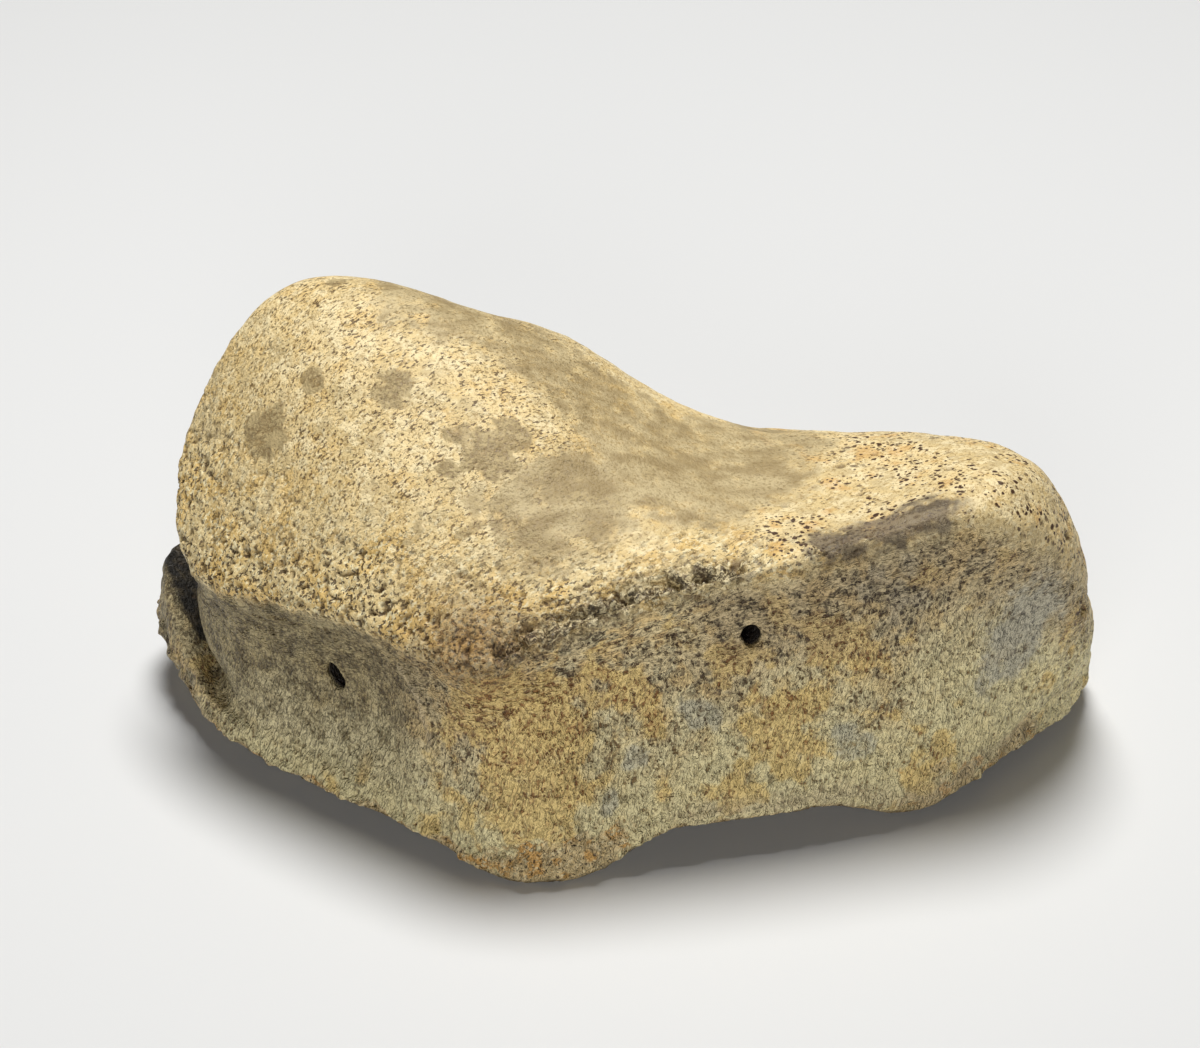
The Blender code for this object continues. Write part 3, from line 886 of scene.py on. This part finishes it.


# The wall: felted grey-brown stone, warmer and greyer in turn, paler at the foot with painted bounce light, with
# ochre and ash-grey stains, painted shade under the lip, mossy at the left end, blue-grey at the right end, a crust
# on the rim, and a near-black painted shadow in the trough behind the flange.
moss_grain = plus(fine, mottle, 0.6)
mossy = mix(remap(moss_grain, 0.60, 1.0), (98, 84, 54), (184, 168, 124))
pale_moss = mix(remap(moss_grain, 0.58, 0.92), (128, 112, 72), (248, 234, 188))
# Painted bounce light at the foot of the mossy stretch.
mossy = mix(zone_share("pale_foot", 0.9), mossy, pale_moss)
crusty = mix(remap(tints, 0.48, 0.62), (232, 206, 152), (230, 178, 100))
crusty = mix(remap(speckle, 0.52, 0.62), crusty, (250, 230, 182))
crusty = mix(remap(fine, 0.34, 0.46), (70, 48, 24), crusty)
stone = layered(
    felted((84, 60, 30), (250, 228, 176)),
    (
        (remap(clouds, 0.54, 0.68, 0.0, 0.5), felted((70, 52, 30), (206, 184, 140))),
        (remap(tints, 0.48, 0.60, 0.0, 0.6), felted((98, 64, 26), (255, 216, 142))),
        (remap(mottle, 0.38, 0.47, 0.35, 0.0), felted((82, 76, 54), (222, 216, 178))),
        # painted bounce light at the foot
        (zone_share("pale_foot", 0.8), felted((144, 112, 58), (255, 242, 186))),
        (blotchy("ochre", 0.0, 1.0, 0.85), felted((158, 104, 46), (255, 222, 142))),
        (blotchy("ash", 0.1, 1.2, 0.6), felted((68, 68, 64), (196, 196, 180))),
        # painted shade under the lip
        (zone_share("under_lip", 0.8), felted((56, 42, 22), (190, 166, 126))),
        (zone_share("smooth_side", 0.85), mossy),
        (blotchy("blue_grey", 0.1, 1.0, 0.85), felted((104, 100, 90), (200, 194, 172))),
        (times(wall_pores, remap(upper_share, 0.0, 1.0, 0.35, 0.2)), (80, 58, 30)),
        (blotchy("crust", 0.2, 0.7, 0.95), crusty),
        # near-black painted shadow in the trough behind the flange and on the flange's outer face
        (zone_share("trough"), mix(remap(mottle, 0.4, 0.6), (30, 25, 16), (66, 57, 40))),
    ),
)

# Both together, and over them the single marks: painted shade in the groove, the crevice and the holes, the brown
# tip of the lip, the underside, painted highlights on the ledge, the ridge and the rim edge, and dark pits.
# Painted shade darkens the groove.
groove_shade_tone = mix(remap(plus(streaks, fine), 0.86, 1.14), (74, 60, 44), (126, 110, 86))
# Painted shade darkens the deep crevice, with pale crumbs in it.
crevice_shade_tone = mix(remap(plus(fine, speckle), 0.94, 1.14), (44, 34, 20), (218, 202, 160))
tip_tone = mix(remap(fine, 0.38, 0.6), (60, 40, 18), (166, 126, 70))
under_tone = mix(remap(mottle, 0.35, 0.65), (132, 108, 70), (190, 166, 120))
tone = layered(
    mix(zone_share("joint_face"), stone, joint),
    (
        # painted shade in the groove and the crevice
        (blotchy("groove", 0.0, 0.7, 0.9), groove_shade_tone),
        (zone_share("crevice", 0.92), crevice_shade_tone),
        # near-black painted shade inside the vessel holes
        (zone_share("hole"), (38, 28, 18)),
        (zone_share("tip", 0.85), tip_tone),
        (zone_share("under", 0.9), under_tone),
        # painted highlights along the ledge, the wall ridge and the rim edge
        (zone_share("ledge", 0.6), (226, 206, 166)),
        (zone_share("pits", 0.72), (78, 52, 22)),
    ),
)
plug(tone, shader.inputs["Base Color"])
plug(remap(fine, 0.3, 0.7, 0.45, 0.75), shader.inputs["Roughness"])

# Grain too small for the mesh stands out as bumps: fine grain all over, threads and specks on the wall, clefts on
# the joint face.
BUMP_DEPTH = 0.26 * MM
off_joint = maths("SUBTRACT", 1.0, zone_share("joint_face"))
height = plus(times(fine, 0.8), times(plus(web, specks, -0.9), off_joint))
height = plus(height, clefts_shown, -1.1)
bumps = nodes.new("ShaderNodeBump")
bumps.inputs["Strength"].default_value = 1.0
bumps.inputs["Distance"].default_value = BUMP_DEPTH
plug(height, bumps.inputs["Height"])
links.new(bumps.outputs[0], shader.inputs["Normal"])
skin.materials.clear()
skin.materials.append(fossil)

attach(bone, "root")
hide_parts("toe_bone")

# The floor is one plain sheet of pale paper under the bone, flat and matt.
FLOOR_SIZE, FLOOR_TONE, FLOOR_ROUGHNESS = 3.0, (0.76, 0.76, 0.75, 1), 0.9
half = FLOOR_SIZE / 2
floor_mesh = bpy.data.meshes.new("floor")
floor_mesh.from_pydata([(-half, -half, 0), (half, -half, 0), (half, half, 0), (-half, half, 0)], [], [(0, 1, 2, 3)])
floor = bpy.data.objects.new("floor", floor_mesh)
bpy.context.scene.collection.objects.link(floor)
paper = bpy.data.materials.new("pale_paper")
paper.use_nodes = True
paper_shader = paper.node_tree.nodes["Principled BSDF"]
paper_shader.inputs["Base Color"].default_value = FLOOR_TONE
paper_shader.inputs["Roughness"].default_value = FLOOR_ROUGHNESS
floor_mesh.materials.append(paper)

# The light is a soft round box overhead, a weaker one low in front, and a weak fill from all round. Each box is
# told by its name, its place, how wide it is and its power, and faces the bone.
LIGHT_BOXES = (("soft_box", (0.03, 0.10, 0.60), 0.27, 4.0), ("front_box", (-0.24, -0.63, 0.23), 0.3, 1.45))
FILL = 0.015
for name, place, size, power in LIGHT_BOXES:
    lamp = bpy.data.lights.new(name, "AREA")
    lamp.shape, lamp.size, lamp.energy = "DISK", size, power
    box = bpy.data.objects.new(name, lamp)
    box.location = place
    box.rotation_euler = (-Vector(place)).to_track_quat("-Z", "Y").to_euler()
    bpy.context.scene.collection.objects.link(box)
world = bpy.data.worlds.new("studio")
world.use_nodes = True
world.node_tree.nodes["Background"].inputs["Color"].default_value = (1, 1, 1, 1)
world.node_tree.nodes["Background"].inputs["Strength"].default_value = FILL
bpy.context.scene.world = world
bpy.context.scene.view_settings.view_transform = "Standard"

# The camera looks down at the bone from the photo's side, through a long lens.
LENS, SENSOR_WIDTH = 120, 36
CAMERA_PLACE, CAMERA_TURN = (-0.08916, -0.34669, 0.25138), (57.4581, 0, -13.9)
camera_data = bpy.data.cameras.new("camera")
camera_data.lens, camera_data.sensor_width = LENS, SENSOR_WIDTH
camera = bpy.data.objects.new("camera", camera_data)
camera.location = CAMERA_PLACE
camera.rotation_euler = [radians(each) for each in CAMERA_TURN]
bpy.context.scene.collection.objects.link(camera)
bpy.context.scene.camera = camera
